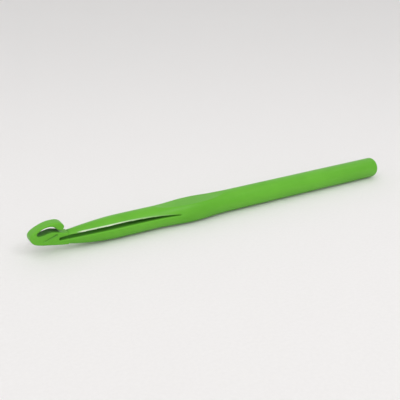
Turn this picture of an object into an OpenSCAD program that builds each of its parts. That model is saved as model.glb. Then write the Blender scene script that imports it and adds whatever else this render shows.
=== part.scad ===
// Moulded plastic crochet hook: one straight round rod with a curled head,
// a tapered and fluted neck, a flattened thumb rest and a plain round handle.
// It lies along X with the nose at -X and the mouth of the hook facing +Z.
// The origin is the middle of the footprint, on the surface that it lies on.
// Inside the modules x runs from 0 at the nose, and z is 0 on the rod's axis.

/* [Rod] */
// Diameter of the rod, which is the nominal size of the hook
rod_d = 9; // [8:0.5:10]
// Length from the nose to the end of the handle
total_l = 166; // [150:1:190]
// Radius of the rounded edge at the end of the handle
end_round = 1.4; // [0.5:0.1:2.5]

/* [Neck] */
// Diameter of the neck just behind the lip
neck_d = 4.8; // [4:0.1:5.4]
// Distance from the nose at which the taper reaches the full rod
taper_end = 34; // [30:1:38]
// How far the thin end of the neck sits above the axis of the rod
neck_rise = 0.4; // [0:0.05:0.6]

/* [Head] */
// Width of the head across its two flat flanks
head_w = 4.5; // [3.6:0.1:4.7]
// How far the rounded edges of the head cut into its side outline
head_edge = 0.4; // [0.3:0.05:0.5]
// How far the rounded edges of the head reach across its width
head_crown = 0.8; // [0.6:0.1:1.4]
// Depth of the crease on each flank, where the neck runs into the head
crease_depth = 0.5; // [0.1:0.05:0.6]

/* [Thumb rest] */
// Distance from the nose to the start of the thumb rest
rest_start = 50; // [46:1:54]
// Length of the thumb rest
rest_l = 32; // [26:1:36]
// How deep each flat is cut below the surface of the rod
rest_depth = 0.7; // [0.3:0.05:1.5]
// How far each side of the thumb rest stands out beyond the rod
rest_bulge = 1; // [0.5:0.05:1.2]
// Length of the plane stretch of each flat
flat_l = 16; // [10:1:20]

/* [Flutes] */
// Distance from the nose to the blunt end of each side flute
flute_start = 10.5; // [10:0.5:13]
// Distance from the nose to the pointed end of each side flute
flute_end = 63; // [58:1:68]
// Height of the lower edge of the flutes above the axis, at the middle of their length
flute_low = 0.85; // [0.5:0.05:1.2]
// Greatest height of each flute
flute_h = 1.5; // [1.2:0.1:2.4]
// Thickness of the web left between the two flutes in the full rod
web_t = 3.2; // [3:0.1:6]

/* [Hidden] */
green = [0.28, 0.66, 0.13];
rod_r = rod_d / 2;
neck_r = neck_d / 2;
head_end = 14;
taper_start = 13;
taper_power = 1.8;
rest_end = rest_start + rest_l;
rest_t = rod_d - 2 * rest_depth;
past = 1;
crease_from = [4.9, 1.1];
crease_to = [10.1, 3];
crease_w = 0.8;
fine = 72;
ring_sides = 48;
curve_steps = 5;
neck_steps = 16;
root_l = 7;
root_steps = 8;
flute_steps = 26;
flute_peak = 0.46;
flute_end_h = 1.1;
flute_dip = 0.45;
neck_web = 1.7;
arc_steps = 8;
swell_steps = 24;

// The side outline of the head as [x, z] points, which a smooth curve passes through:
// along the underside, round the nose and over the lip to its tip, then back along the inside.
// The first half and the second half hold the same number of points, so they can be paired.
HEAD_OUTLINE = [
  [15.5, -2.05], [12.6, -1.8], [9.6, -1.25], [6.4, -0.6], [3.7, -0.05], [1.4, 0.8], [0.15, 2.4],
  [0.15, 4.1], [1.5, 5.45], [3.5, 6.45], [5.6, 7.2], [8, 7.6], [11.1, 7.35], [12.78, 5.8],
  [12.35, 4.5], [11.1, 4.2], [9.9, 4.9], [9, 5.85], [7.3, 6.35], [5.4, 6.1], [3.6, 5.3],
  [2.7, 4.4], [3.4, 3.75], [5.4, 3.95], [8, 4.35], [10.5, 3.8], [12.7, 2.95], [15.5, 2.85]
];

// One point of a Catmull-Rom curve between b and c
function spline_at(a, b, c, d, t) =
  0.5 * (2 * b + (c - a) * t + (2 * a - 5 * b + 4 * c - d) * t * t + (3 * b - a - 3 * c + d) * t * t * t);

// An open smooth curve through every point
function smooth(pts, steps) =
  let (last = len(pts) - 1)
  concat(
    [for (i = [0:last - 1], s = [0:steps - 1])
      spline_at(pts[max(i - 1, 0)], pts[i], pts[i + 1], pts[min(i + 2, last)], s / steps)],
    [pts[last]]
  );

// The direction that points into the solid at point i of a closed clockwise outline
function inward(pts, i) =
  let (
    n = len(pts),
    run = pts[(i + 1) % n] - pts[(i + n - 1) % n],
    size = norm(run)
  )
  [run[1], -run[0]] / size;

// A closed solid from rings that all have the same number of points.
// Each end is a strip of quads between the first and the second half of its ring.
module loft(rings) {
  n = len(rings[0]);
  last = len(rings) - 1;
  points = [for (ring = rings, p = ring) p];
  sides = [for (k = [0:last - 1], i = [0:n - 1], half = [0:1])
    let (a = k * n + i, b = k * n + (i + 1) % n)
    half == 0 ? [a, b + n, b] : [a, a + n, b + n]];
  strip = [for (i = [0:n / 2 - 2], half = [0:1])
    half == 0 ? [i, i + 1, n - 1 - i] : [i + 1, n - 2 - i, n - 1 - i]];
  far_strip = [for (face = strip) [for (k = [2:-1:0]) face[k] + last * n]];
  polyhedron(points = points, faces = concat(strip, far_strip, sides), convexity = 8);
}

// A slab standing in the XZ plane, its outline drawn in by the crown towards both flanks
module crowned_slab(outline, width, edge, crown) {
  n = len(outline);
  side = [for (turn = [0:15:90]) [-width / 2 + crown * (1 - cos(turn)), edge * (1 - sin(turn))]];
  layers = concat(side, [for (k = [len(side) - 1:-1:0]) [-side[k][0], side[k][1]]]);
  loft([for (layer = layers) [for (i = [0:n - 1])
    let (p = outline[i] + layer[1] * inward(outline, i))
    [p[0], layer[0], p[1]]]]);
}

function taper(x) = x >= taper_end ? 0 : pow(1 - (x - taper_start) / (taper_end - taper_start), taper_power);
function neck_radius(x) = rod_r - (rod_r - neck_r) * taper(x);
function neck_height(x) = neck_rise * pow(taper(x), 2);

// Round sections along the neck, between two distances from the nose
module neck_sections(from, to) {
  loft([for (k = [0:neck_steps]) let (x = from + (to - from) * k / neck_steps)
    [for (i = [0:ring_sides - 1]) let (turn = 360 * i / ring_sides)
      [x, neck_radius(x) * cos(turn), neck_height(x) + neck_radius(x) * sin(turn)]]]);
}

// Height of a flute at x: it swells from the blunt end and then closes to a point
function flute_height(x) =
  let (u = (x - flute_start) / (flute_end - flute_start))
  u < flute_peak
    ? flute_end_h + (flute_h - flute_end_h) * sin(90 * u / flute_peak)
    : flute_h * cos(90 * (u - flute_peak) / (1 - flute_peak));

// Height of the lower edge of a flute at x, which dips towards both ends
function flute_foot(x) =
  flute_low - flute_dip * pow(2 * (x - flute_start) / (flute_end - flute_start) - 1, 2);

// The side outline of a flute, as [x, z] points
function flute_rim() =
  let (places = [for (k = [0:flute_steps]) flute_start + (flute_end - flute_start) * k / flute_steps])
  concat(
    [for (x = places) [x, flute_foot(x)]],
    [for (k = [flute_steps - 1:-1:0]) [places[k], flute_foot(places[k]) + flute_height(places[k])]]
  );

// The floor of a flute seen from above, as [x, y] points: it runs out to the surface at its far end
function flute_floor() =
  smooth([
    [flute_start, neck_web / 2],
    [taper_start + 8, web_t / 2 - 0.3],
    [taper_end, web_t / 2],
    [rest_start - 2, web_t / 2 + 0.1],
    [flute_end, rod_r + rest_bulge]
  ], curve_steps);

// The two side flutes, each bounded by its side outline and by its floor
module flutes() {
  clear = rod_d;
  for (flank = [0, 1])
    mirror([0, flank, 0])
      intersection() {
        rotate([90, 0, 0])
          linear_extrude(clear)
            polygon(flute_rim());
        translate([0, 0, -clear / 2])
          linear_extrude(clear)
            polygon(concat([for (p = flute_floor()) [p[0], -p[1]]],
              [[flute_end + past, -clear], [flute_start - past, -clear]]));
      }
}

// A cylinder along X between two distances from the nose
module rod(from, to) {
  translate([from, 0, 0])
    rotate([0, 90, 0])
      cylinder(h = to - from, r = rod_r, $fn = fine);
}

// Puts a sub-part in the frame: the footprint's middle at the origin, the rod lying on z = 0
module placed() {
  translate([-total_l / 2, 0, rod_r])
    children();
}

// The curled head: nose, lip, throat and the start of the neck
module head() {
  color(green)
    placed()
      difference() {
        union() {
          intersection() {
            crowned_slab(smooth(HEAD_OUTLINE, curve_steps), head_w, head_edge, head_crown);
            translate([-past, -rod_d, -rod_d])
              cube([head_end + past, 2 * rod_d, 3 * rod_d]);
          }
          neck_root();
        }
        flutes();
        creases();
      }
}

// The two creases, each a V cut that runs up across the flank of the head
module creases() {
  run = crease_to - crease_from;
  for (flank = [0, 1])
    mirror([0, flank, 0])
      translate([crease_from[0], -head_w / 2, crease_from[1]])
        rotate([0, -atan2(run[1], run[0]), 0])
          rotate([90, 0, 90])
            linear_extrude(norm(run))
              polygon([[-past, -crease_w / 2], [0, -crease_w / 2], [crease_depth, 0], [0, crease_w / 2],
                [-past, crease_w / 2]]);
}

// The round end of the neck, which dies into the flanks of the head
module neck_root() {
  loft([for (k = [0:root_steps]) let (
      t = k / root_steps,
      x = head_end - root_l * (1 - t),
      r = neck_radius(head_end) * pow(sin(30 + 60 * t), 0.8)
    )
    [for (i = [0:ring_sides - 1]) let (turn = 360 * i / ring_sides)
      [x, r * cos(turn), neck_height(head_end) + r * sin(turn)]]]);
}

// The tapered neck behind the head
module neck() {
  color(green)
    placed()
      difference() {
        neck_sections(head_end, taper_end);
        flutes();
      }
}

// The full round rod between the neck and the thumb rest
module shaft() {
  color(green)
    placed()
      difference() {
        rod(taper_end, rest_start);
        flutes();
      }
}

// A cutter that leaves a plane flat, and rises in an arc to the rod's surface at each end
module flat_cutter() {
  run = (rest_l - flat_l) / 2;
  bend = (run * run + rest_depth * rest_depth) / (2 * rest_depth);
  sweep = asin(run / bend);
  arc = [for (k = [0:arc_steps])
    let (turn = sweep * k / arc_steps)
    [flat_l / 2 + bend * sin(turn), bend * (1 - cos(turn))]];
  outline = concat(
    [for (k = [arc_steps:-1:0]) [-arc[k][0], arc[k][1]]],
    arc,
    [[rest_l, rest_depth], [rest_l, rod_d], [-rest_l, rod_d], [-rest_l, rest_depth]]
  );
  translate([rest_start + rest_l / 2, rod_d, rest_t / 2])
    rotate([90, 0, 0])
      linear_extrude(2 * rod_d)
        polygon(outline);
}

// The thumb rest: a gentle swelling of the rod with a flat above and a flat below
module thumb_rest() {
  wall = [for (k = [0:swell_steps])
    [rod_r + rest_bulge * pow(sin(180 * k / swell_steps), 2), rest_l * k / swell_steps]];
  color(green)
    placed()
      difference() {
        translate([rest_start, 0, 0])
          rotate([0, 90, 0])
            rotate_extrude($fn = fine)
              polygon(concat([[0, 0]], wall, [[0, rest_l]]));
        flat_cutter();
        mirror([0, 0, 1])
          flat_cutter();
        flutes();
      }
}

// The plain round handle with its rounded end
module handle() {
  end_arc = [for (turn = [0:15:90])
    [rod_r - end_round * (1 - cos(turn)), total_l - rest_end - end_round * (1 - sin(turn))]];
  color(green)
    placed()
      translate([rest_end, 0, 0])
        rotate([0, 90, 0])
          rotate_extrude($fn = fine)
            polygon(concat([[0, 0], [rod_r, 0]], end_arc, [[0, total_l - rest_end]]));
}

head();
neck();
shaft();
thumb_rest();
handle();
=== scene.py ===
"""The looks of the moulded crochet hook: one green plastic moulding on a pale studio floor."""
import math

import bmesh
import bpy
import numpy as np
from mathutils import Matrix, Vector


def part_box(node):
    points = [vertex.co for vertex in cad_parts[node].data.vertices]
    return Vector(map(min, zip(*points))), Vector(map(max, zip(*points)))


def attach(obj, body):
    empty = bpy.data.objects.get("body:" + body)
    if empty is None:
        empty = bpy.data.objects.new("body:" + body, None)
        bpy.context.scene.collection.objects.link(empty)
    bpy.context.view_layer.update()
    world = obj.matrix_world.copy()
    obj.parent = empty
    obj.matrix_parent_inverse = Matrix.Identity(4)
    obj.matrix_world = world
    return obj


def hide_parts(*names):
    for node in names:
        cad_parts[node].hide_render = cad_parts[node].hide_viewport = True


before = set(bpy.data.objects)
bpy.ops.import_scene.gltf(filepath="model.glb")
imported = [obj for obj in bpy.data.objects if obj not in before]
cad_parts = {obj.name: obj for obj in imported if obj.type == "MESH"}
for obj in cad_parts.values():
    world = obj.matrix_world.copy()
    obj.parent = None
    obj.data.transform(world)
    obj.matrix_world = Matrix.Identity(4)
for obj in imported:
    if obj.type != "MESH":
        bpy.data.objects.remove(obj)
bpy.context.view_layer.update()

# ---- Sizes of the making, in metres ----
MM = 0.001
NODES = ("head", "neck", "shaft", "thumb_rest", "handle")
WELD = 0.0005 * MM           # points of two nodes closer than this become one
VOXEL = 0.145 * MM           # grid of the remesh that joins the CAD nodes
SMOOTH_ROUNDS = 9            # each one softens the moulded edges a little
SMOOTH_STEP = 0.5            # share of the way to the middle of its neighbours that a point moves
ROUND_REACH = 0.07 * MM      # how far off the true round a point may be and still be drawn onto it
END_ROUND = 1.4 * MM         # rounded edge at the end of the handle
SHAFT_MARGIN = 0.5 * MM      # this much of the shaft, next to the neck, is left undrawn
END_MARGIN = 0.3 * MM        # and this much before the rounded end
KEPT_FACES = 190000          # triangles left once the plain surfaces are thinned

# ---- Places on the hook: x from the nose and z from the rod's axis, in metres ----
FLUTE_START = 10.0 * MM      # the flutes lie between these distances and these heights
FLUTE_END = 64 * MM
FLUTE_LOW = 0.3 * MM
FLUTE_HIGH = 3.2 * MM
PLAIN_FROM = 18 * MM         # from here on the surfaces above and below the flutes are plain
PLAIN_BELOW = -1.0 * MM
PLAIN_ABOVE = FLUTE_HIGH + 0.3 * MM
PLAIN_ALL = FLUTE_END + 1.0 * MM   # from here on the whole round is plain
FLUTE_FULL = 1.0 * MM        # depth over which a flute's painted shade comes up to full
FLUTE_SHALLOW = 0.25         # share of that depth that stays in the plain colour
RIM_FROM = 0.35              # share of the full tone that counts as inside the flute
RIM_LIFT = 0.12 * MM         # how far the middle of the pale rim, a painted highlight, lies above the top of the flute
RIM_WIDTH = 0.48 * MM        # half the height of the pale rim's painted highlight
RIM_CRISP = 2.2              # how sharply the rim's two edges end
RIM_DEPTH = 0.15 * MM        # how far proud of the neck's round the rim may still reach
RIM_PLACES = [17 * MM, 19 * MM, 33 * MM, 40 * MM, 58 * MM]
RIM_STRENGTHS = [0.0, 1.0, 1.0, 0.45, 0.0]
CREASE_FROM = Vector((4.9, 0, 1.1)) * MM
CREASE_TO = Vector((10.1, 0, 3.0)) * MM
CREASE_ALONG = (CREASE_TO - CREASE_FROM).normalized()
CREASE_LENGTH = (CREASE_TO - CREASE_FROM).length
CREASE_WIDTH = 0.9 * MM
CREASE_FULL = 0.3 * MM       # depth at which the painted shade in the crease is full
THROAT_MIDDLE = Vector((7, 0, 5.1)) * MM
THROAT_LOW = Vector((2.2, 0, 3.3)) * MM
THROAT_HIGH = Vector((10.8, 0, 6.6)) * MM
THROAT_EDGE = 0.5 * MM       # how far in from the flanks the throat's painted shade is full

# ---- View of the photograph ----
VIEW_AZIMUTH = math.radians(30.85)
VIEW_ELEVATION = math.radians(22.29)
VIEW_DISTANCE = 280 * MM
VIEW_TARGET = Vector((-2.6, 16.5, -0.5)) * MM
LENS = 57.6
SENSOR = 36


# ---- The moulding ----
def joined_copy(names):
    """One mesh that holds a copy of every named CAD node."""
    whole = bmesh.new()
    for name in names:
        whole.from_mesh(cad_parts[name].data)
    bmesh.ops.remove_doubles(whole, verts=whole.verts, dist=WELD)
    mesh = bpy.data.meshes.new("hook_source")
    whole.to_mesh(mesh)
    whole.free()
    mesh.materials.clear()
    return mesh


def remeshed(source):
    """The outer surface of the joined nodes, as an even grid of small quads."""
    carrier = bpy.data.objects.new("hook_carrier", source)
    bpy.context.scene.collection.objects.link(carrier)
    step = carrier.modifiers.new("grid", "REMESH")
    step.mode = "VOXEL"
    step.voxel_size = VOXEL
    depsgraph = bpy.context.evaluated_depsgraph_get()
    mesh = bpy.data.meshes.new_from_object(carrier.evaluated_get(depsgraph))
    bpy.data.objects.remove(carrier)
    return mesh


def keep_outer_shell(mesh):
    """Drops every loose part but the largest."""
    shape = bmesh.new()
    shape.from_mesh(mesh)
    left = set(shape.verts)
    shells = []
    while left:
        seed = left.pop()
        shell = {seed}
        edge_of_shell = [seed]
        while edge_of_shell:
            at = edge_of_shell.pop()
            for edge in at.link_edges:
                other = edge.other_vert(at)
                if other in left:
                    left.discard(other)
                    shell.add(other)
                    edge_of_shell.append(other)
        shells.append(shell)
    shells.sort(key=len)
    for shell in shells[:-1]:
        bmesh.ops.delete(shape, geom=list(shell), context="VERTS")
    shape.to_mesh(mesh)
    shape.free()


def points_of(mesh):
    """The places of all the mesh's points, one row each."""
    flat = np.empty(len(mesh.vertices) * 3)
    mesh.vertices.foreach_get("co", flat)
    return flat.reshape(-1, 3)


def softened(points, mesh):
    """Every point drawn towards the middle of its neighbours, a few times over."""
    ends = np.empty(len(mesh.edges) * 2, np.int32)
    mesh.edges.foreach_get("vertices", ends)
    a, b = ends.reshape(-1, 2).T
    count = len(points)
    degree = np.bincount(a, minlength=count) + np.bincount(b, minlength=count)
    for _ in range(SMOOTH_ROUNDS):
        middle = np.empty_like(points)
        for axis in range(3):
            total = np.bincount(a, points[b, axis], count) + np.bincount(b, points[a, axis], count)
            middle[:, axis] = total / degree
        points = points + (middle - points) * SMOOTH_STEP
    return points


def trued(points):
    """Draws the turned surfaces of the rod and the thumb rest onto their true rounds."""
    rod_low, rod_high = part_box("handle")
    rest_low, rest_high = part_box("thumb_rest")
    shaft_low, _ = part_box("shaft")
    rod_r = (rod_high.y - rod_low.y) / 2
    bulge = rest_high.y - rod_r
    along = np.clip((points[:, 0] - rest_low.x) / (rest_high.x - rest_low.x), 0, 1)
    true_r = rod_r + bulge * np.sin(math.pi * along) ** 2
    y, z = points[:, 1], points[:, 2] - rod_r
    r = np.hypot(y, z)
    off = np.clip(1 - np.abs(true_r - r) / ROUND_REACH, 0, 1)
    weight = off * off * (3 - 2 * off)
    weight *= points[:, 0] > shaft_low.x + SHAFT_MARGIN
    weight *= points[:, 0] < rod_high.x - END_ROUND - END_MARGIN
    scale = 1 + weight * (true_r / np.maximum(r, MM) - 1)
    return np.stack([points[:, 0], y * scale, rod_r + z * scale], axis=1)


def hook_places(points):
    """Every point's distance from the nose and the middle plane, and its height above the axis."""
    rod_low, rod_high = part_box("handle")
    head_low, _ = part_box("head")
    rod_r = (rod_high.y - rod_low.y) / 2
    return points[:, 0] - head_low.x, np.abs(points[:, 1]), points[:, 2] - rod_r


def recess_and_rim(points, normals):
    """How far every point lies inside a flute, throat or crease, and how near a flute's top: the
    masks for the painted shade in these hollows and for the painted highlight along the flutes'
    upper rims.
    """
    head_low, head_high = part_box("head")
    neck_start = head_high.x - head_low.x
    x, y, z = hook_places(points)
    # The outer radius and the top of the flutes at each x, from the points in every millimetre
    bins = (np.clip(x, 0, None) / MM).astype(int)
    middles = np.arange(bins.max() + 1) + 0.5
    outer = np.zeros(len(middles))
    np.maximum.at(outer, bins, np.where(z > 0, np.hypot(y, z), 0))
    outer = np.interp(x / MM, middles, outer)
    outer = np.where(x < neck_start, head_high.y, outer)
    depth = np.sqrt(np.maximum(outer ** 2 - z ** 2, 0)) - y
    # Painted shade inside the flutes: deeper points darker.
    flute = np.clip(depth / FLUTE_FULL - FLUTE_SHALLOW, 0, 1)
    flute *= (z > FLUTE_LOW) & (z < FLUTE_HIGH) & (x < FLUTE_END) & (x > FLUTE_START)
    tops = np.zeros(len(middles))
    np.maximum.at(tops, bins, np.where(flute > RIM_FROM, z, 0))
    top = np.interp(x / MM, middles, tops)
    # Painted highlight: a pale band just above the top of each flute.
    rim = np.clip(RIM_CRISP * (1 - np.abs(top + RIM_LIFT - z) / RIM_WIDTH), 0, 1)
    rim *= (depth > -RIM_DEPTH) & (z > FLUTE_LOW)
    rim *= np.interp(x, RIM_PLACES, RIM_STRENGTHS)

    half_w = points[np.abs(x - THROAT_MIDDLE.x) < MM, 1].max()
    # Painted shade along the crease where the neck meets the head.
    across = (z - CREASE_FROM.z) * CREASE_ALONG.x - (x - CREASE_FROM.x) * CREASE_ALONG.z
    along = (x - CREASE_FROM.x) * CREASE_ALONG.x + (z - CREASE_FROM.z) * CREASE_ALONG.z
    crease = np.clip((half_w - y) / CREASE_FULL, 0, 1) * np.clip(along / CREASE_LENGTH, 0, 1)
    crease *= (np.abs(across) < CREASE_WIDTH / 2) & (along < CREASE_LENGTH)

    # Painted shade inside the throat, on its inner faces.
    throat = np.clip((half_w - y) / THROAT_EDGE, 0, 1)
    faces_in = (THROAT_MIDDLE.x - x) * normals[:, 0] + (THROAT_MIDDLE.z - z) * normals[:, 2] > 0
    throat *= faces_in & (x > THROAT_LOW.x) & (x < THROAT_HIGH.x)
    throat *= (z > THROAT_LOW.z) & (z < THROAT_HIGH.z)
    return np.maximum(np.maximum(flute, throat), crease), rim


def thinned(piece):
    """Merges small faces on the plain surfaces, and leaves the head and the flutes as they are."""
    x, _, z = hook_places(points_of(piece.data))
    plain = (x > PLAIN_ALL) | ((x > PLAIN_FROM) & ((z < PLAIN_BELOW) | (z > PLAIN_ABOVE)))
    group = piece.vertex_groups.new(name="plain")
    group.add(np.flatnonzero(plain).tolist(), 1, "REPLACE")
    step = piece.modifiers.new("thin", "DECIMATE")
    step.vertex_group = group.name
    step.ratio = KEPT_FACES / (2 * len(piece.data.polygons))
    depsgraph = bpy.context.evaluated_depsgraph_get()
    mesh = bpy.data.meshes.new_from_object(piece.evaluated_get(depsgraph))
    piece.modifiers.clear()
    piece.vertex_groups.clear()
    piece.data = mesh
    mesh.name = piece.name
    return piece


def make_moulding():
    """The whole hook as one closed mesh, with the two values that its material reads: where shade
    is painted and where a highlight is painted.
    """
    mesh = remeshed(joined_copy(NODES))
    keep_outer_shell(mesh)
    points = trued(softened(points_of(mesh), mesh))
    mesh.vertices.foreach_set("co", points.ravel())
    mesh.polygons.foreach_set("use_smooth", [True] * len(mesh.polygons))
    mesh.update()
    normals = np.empty(len(points) * 3)
    mesh.vertices.foreach_get("normal", normals)
    recess, rim = recess_and_rim(points, normals.reshape(-1, 3))
    for name, values in (("recess", recess), ("rim", rim)):
        mesh.attributes.new(name, "FLOAT", "POINT").data.foreach_set("value", values)
    piece = bpy.data.objects.new("hook_moulding", mesh)
    bpy.context.scene.collection.objects.link(piece)
    return thinned(piece)


# ---- Materials ----
class Nodes:
    """Short calls for building a node tree."""

    def __init__(self, tree):
        self.tree = tree

    def add(self, kind, **values):
        node = self.tree.nodes.new(kind)
        for name, value in values.items():
            setattr(node, name, value)
        return node

    def link(self, out, into):
        self.tree.links.new(out, into)

    def noise(self, place, scale, detail, roughness=0.5):
        node = self.add("ShaderNodeTexNoise")
        node.inputs["Scale"].default_value = scale
        node.inputs["Detail"].default_value = detail
        node.inputs["Roughness"].default_value = roughness
        self.link(place, node.inputs["Vector"])
        return node.outputs["Fac"]

    def stretch(self, place, scale):
        node = self.add("ShaderNodeMapping")
        node.inputs["Scale"].default_value = scale
        self.link(place, node.inputs["Vector"])
        return node.outputs["Vector"]

    def spread(self, value, given, wanted):
        """Maps the given range of the value onto the wanted one."""
        node = self.add("ShaderNodeMapRange")
        for name, number in zip(("From Min", "From Max", "To Min", "To Max"), (*given, *wanted)):
            node.inputs[name].default_value = number
        self.link(value, node.inputs["Value"])
        return node.outputs["Result"]

    def math(self, kind, first, second):
        node = self.add("ShaderNodeMath", operation=kind)
        for socket, value in zip(node.inputs, (first, second)):
            if isinstance(value, (int, float)):
                socket.default_value = value
            else:
                self.link(value, socket)
        return node.outputs["Value"]

    def mix(self, amount, first, second):
        node = self.add("ShaderNodeMix", data_type="RGBA")
        colours = [s for s in node.inputs if s.type == "RGBA"]
        for socket, colour in zip(colours, (first, second)):
            if isinstance(colour, tuple):
                socket.default_value = (*colour, 1)
            else:
                self.link(colour, socket)
        self.link(amount, node.inputs["Factor"])
        return [s for s in node.outputs if s.type == "RGBA"][0]


def new_material(name):
    """A fresh material with its node calls, its shader and the object's own coordinates."""
    material = bpy.data.materials.new(name)
    material.use_nodes = True
    tree = material.node_tree
    tree.nodes.clear()
    nodes = Nodes(tree)
    shader = nodes.add("ShaderNodeBsdfPrincipled")
    out = nodes.add("ShaderNodeOutputMaterial")
    nodes.link(shader.outputs["BSDF"], out.inputs["Surface"])
    place = nodes.add("ShaderNodeTexCoord").outputs["Object"]
    return material, nodes, shader, place


def hook_plastic():
    """Satin green plastic: faint flow streaks and clouding, fine grain, light handling marks,
    painted shade in the flutes, throat and crease, and a painted highlight along the flutes' upper
    rims.
    """
    material, nodes, shader, place = new_material("hook_plastic")
    green = (0.130, 0.445, 0.028)
    deep = (0.114, 0.408, 0.023)
    pale = (0.168, 0.480, 0.050)
    # painted shade for the flutes, throat and crease
    shaded = (0.060, 0.215, 0.022)
    # painted highlight for the flutes' upper rims
    painted_highlight = (0.62, 0.74, 0.54)

    clouds = nodes.noise(place, scale=70, detail=3)
    along = nodes.stretch(place, (0.12, 1, 1))
    streaks = nodes.noise(along, scale=420, detail=4, roughness=0.6)
    body = nodes.mix(nodes.spread(clouds, given=(0.35, 0.65), wanted=(0, 1)), deep, green)
    body = nodes.mix(nodes.spread(streaks, given=(0.45, 0.75), wanted=(0, 0.30)), body, pale)

    # Painted shade in the flutes, throat and crease.
    inside = nodes.add("ShaderNodeAttribute", attribute_name="recess").outputs["Fac"]
    body = nodes.mix(inside, body, shaded)
    # Painted highlight along the flutes' upper rims.
    rim = nodes.add("ShaderNodeAttribute", attribute_name="rim").outputs["Fac"]
    body = nodes.mix(rim, body, painted_highlight)
    nodes.link(body, shader.inputs["Base Color"])

    rub = nodes.noise(nodes.stretch(place, (0.25, 1, 1)), scale=160, detail=4, roughness=0.6)
    rough = nodes.spread(rub, given=(0.3, 0.7), wanted=(0.30, 0.46))
    rough = nodes.math("MULTIPLY", rough, nodes.spread(inside, given=(0, 1), wanted=(1, 1.6)))
    rough = nodes.math("MULTIPLY", rough, nodes.spread(rim, given=(0, 1), wanted=(1, 0.45)))
    nodes.link(rough, shader.inputs["Roughness"])

    grain = nodes.math("MULTIPLY", nodes.noise(place, scale=3800, detail=2), 0.5)
    swirl = nodes.math("MULTIPLY", nodes.noise(place, scale=260, detail=3), 1.5)
    height = nodes.math("ADD", grain, swirl)
    bump = nodes.add("ShaderNodeBump")
    bump.inputs["Strength"].default_value = 0.35
    bump.inputs["Distance"].default_value = 0.03 * MM
    nodes.link(height, bump.inputs["Height"])
    nodes.link(bump.outputs["Normal"], shader.inputs["Normal"])

    shader.inputs["IOR"].default_value = 1.5
    shader.inputs["Specular IOR Level"].default_value = 0.25
    shader.inputs["Subsurface Weight"].default_value = 0.12
    shader.inputs["Subsurface Radius"].default_value = (0.6, 1.0, 0.25)
    shader.inputs["Subsurface Scale"].default_value = 0.6 * MM
    return material


def floor_card():
    """Matt white card."""
    material, nodes, shader, place = new_material("floor_card")
    darker = (0.815, 0.800, 0.795)
    lighter = (0.835, 0.820, 0.815)
    fibre = nodes.noise(place, scale=900, detail=3)
    tone = nodes.mix(nodes.spread(fibre, given=(0.3, 0.7), wanted=(0, 1)), darker, lighter)
    nodes.link(tone, shader.inputs["Base Color"])
    shader.inputs["Roughness"].default_value = 0.75
    shader.inputs["Specular IOR Level"].default_value = 0.25
    shader.inputs["Subsurface Weight"].default_value = 1
    shader.inputs["Subsurface Radius"].default_value = (1, 1, 1)
    shader.inputs["Subsurface Scale"].default_value = 6 * MM
    return material


# ---- The studio ----
def make_floor(material):
    """A flat card, four metres each way."""
    reach = 4.0
    mesh = bpy.data.meshes.new("floor")
    corners = [(-reach, -reach, 0), (reach, -reach, 0), (reach, reach, 0), (-reach, reach, 0)]
    mesh.from_pydata(corners, [], [(0, 1, 2, 3)])
    mesh.materials.append(material)
    floor = bpy.data.objects.new("floor", mesh)
    bpy.context.scene.collection.objects.link(floor)


def area_light(name, at, towards, side, power):
    """A white square lamp, in metres and watts."""
    data = bpy.data.lights.new(name, "AREA")
    data.shape = "SQUARE"
    data.size = side
    data.energy = power
    lamp = bpy.data.objects.new(name, data)
    lamp.location = at
    lamp.rotation_euler = (Vector(towards) - Vector(at)).to_track_quat("-Z", "Y").to_euler()
    bpy.context.scene.collection.objects.link(lamp)


def make_world(strength):
    """Even white room light."""
    world = bpy.data.worlds.new("studio")
    world.use_nodes = True
    background = world.node_tree.nodes["Background"]
    background.inputs["Color"].default_value = (1, 0.995, 0.99, 1)
    background.inputs["Strength"].default_value = strength
    bpy.context.scene.world = world


def make_camera():
    """The photograph's view: it looks at VIEW_TARGET from VIEW_DISTANCE away."""
    data = bpy.data.cameras.new("camera")
    data.sensor_width = SENSOR
    data.lens = LENS
    data.clip_start, data.clip_end = 0.01, 20
    camera = bpy.data.objects.new("camera", data)
    back = Vector((
        -math.sin(VIEW_AZIMUTH) * math.cos(VIEW_ELEVATION),
        -math.cos(VIEW_AZIMUTH) * math.cos(VIEW_ELEVATION),
        math.sin(VIEW_ELEVATION),
    ))
    camera.location = VIEW_TARGET + back * VIEW_DISTANCE
    camera.rotation_euler = (math.pi / 2 - VIEW_ELEVATION, 0, -VIEW_AZIMUTH)
    bpy.context.scene.collection.objects.link(camera)
    bpy.context.scene.camera = camera


make_camera()
moulding = make_moulding()
moulding.data.materials.append(hook_plastic())
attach(moulding, "root")
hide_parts("head", "neck", "shaft", "thumb_rest", "handle")

make_floor(floor_card())
make_world(strength=0.71)
area_light("overhead", at=(-0.19, -0.02, 0.35), towards=(-0.19, -0.02, 0), side=0.3, power=0.16)
area_light("front_soft", at=(-0.3, -1.45, 1.77), towards=(0, 0, 0), side=1.4, power=11.5)
area_light("edge_light", at=(0.15, -0.42, 0.45), towards=(-0.05, 0, 0), side=0.05, power=0.5)
bpy.context.scene.view_settings.view_transform = "Standard"
